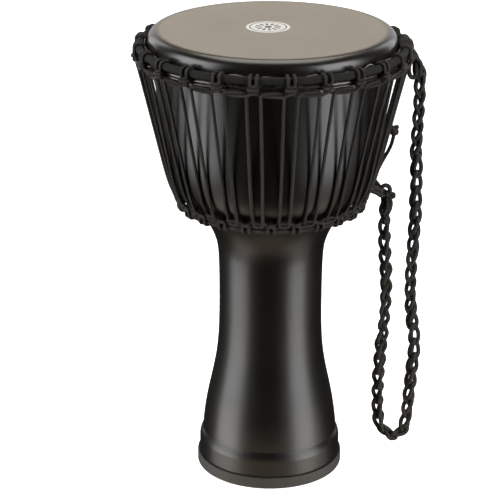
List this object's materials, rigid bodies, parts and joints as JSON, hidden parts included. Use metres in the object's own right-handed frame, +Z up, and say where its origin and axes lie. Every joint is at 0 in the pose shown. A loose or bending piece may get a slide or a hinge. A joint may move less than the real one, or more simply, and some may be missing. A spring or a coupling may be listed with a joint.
{
  "type": "djembe",
  "caption": "Rope-tuned goblet hand drum with a moulded shell, a synthetic head, crown and bottom rings laced with rope, and a chained carry rope at its side.",
  "frame": {"origin": "centre of the foot, on the floor", "axes": "+Z up along the shell's axis; -Y is the front; +X is the side where the carry rope hangs"},
  "size_m": [0.3836, 0.3602, 0.6102],
  "materials": {
    "shell_plastic": "satin",
    "foot_rubber": "matte",
    "ring_steel": "satin",
    "rope": "braided",
    "head_film": "matte",
    "badge_print": "satin",
    "hoop_band": "satin",
    "wrap_cloth": "woven"
  },
  "bodies": {
    "root": {"shell": "shell_plastic", "foot_ring": "foot_rubber", "bottom_ring": "ring_steel", "bottom_hitches": "rope", "bottom_loops": "rope", "lower_tie": "rope", "tail_knot": "rope", "tail_rope": "rope", "tuning_rope_01": "rope", "tuning_rope_02": "rope", "tuning_rope_03": "rope", "tuning_rope_04": "rope", "tuning_rope_05": "rope", "tuning_rope_06": "rope", "tuning_rope_07": "rope", "tuning_rope_08": "rope", "tuning_rope_09": "rope", "tuning_rope_10": "rope", "tuning_rope_11": "rope", "tuning_rope_12": "rope", "tuning_rope_13": "rope", "tuning_rope_14": "rope", "tuning_rope_15": "rope", "tuning_rope_16": "rope", "tuning_rope_17": "rope", "tuning_rope_18": "rope", "tuning_rope_19": "rope", "tuning_rope_20": "rope", "tuning_rope_21": "rope", "tuning_rope_22": "rope", "tuning_rope_23": "rope", "tuning_rope_24": "rope"},
    "head": {"drum_head": "head_film", "head_badge": "badge_print", "flesh_hoop": "hoop_band", "crown_ring": "ring_steel", "crown_ring_wrap": "wrap_cloth", "crown_hitches": "rope", "crown_loops": "rope", "carry_rope_top_loop": "rope"},
    "carry_rope": {"carry_rope": "rope", "carry_rope_lower_knot": "rope"}
  },
  "joints": [
    {"name": "tuning_travel", "type": "slide", "parent": "root", "child": "head", "axis": [0, 0, 1], "range_m": [0, 0.006], "deforming": ["tuning_rope_01", "tuning_rope_02", "tuning_rope_03", "tuning_rope_04", "tuning_rope_05", "tuning_rope_06", "tuning_rope_07", "tuning_rope_08", "tuning_rope_09", "tuning_rope_10", "tuning_rope_11", "tuning_rope_12", "tuning_rope_13", "tuning_rope_14", "tuning_rope_15", "tuning_rope_16", "tuning_rope_17", "tuning_rope_18", "tuning_rope_19", "tuning_rope_20", "tuning_rope_21", "tuning_rope_22", "tuning_rope_23", "tuning_rope_24"]},
    {"name": "carry_rope_swing", "type": "hinge", "parent": "root", "child": "carry_rope", "pos_m": [0.144, 0, 0.39], "axis": [0.1961, 0, 0.9806], "range_deg": [-25, 25]}
  ]
}
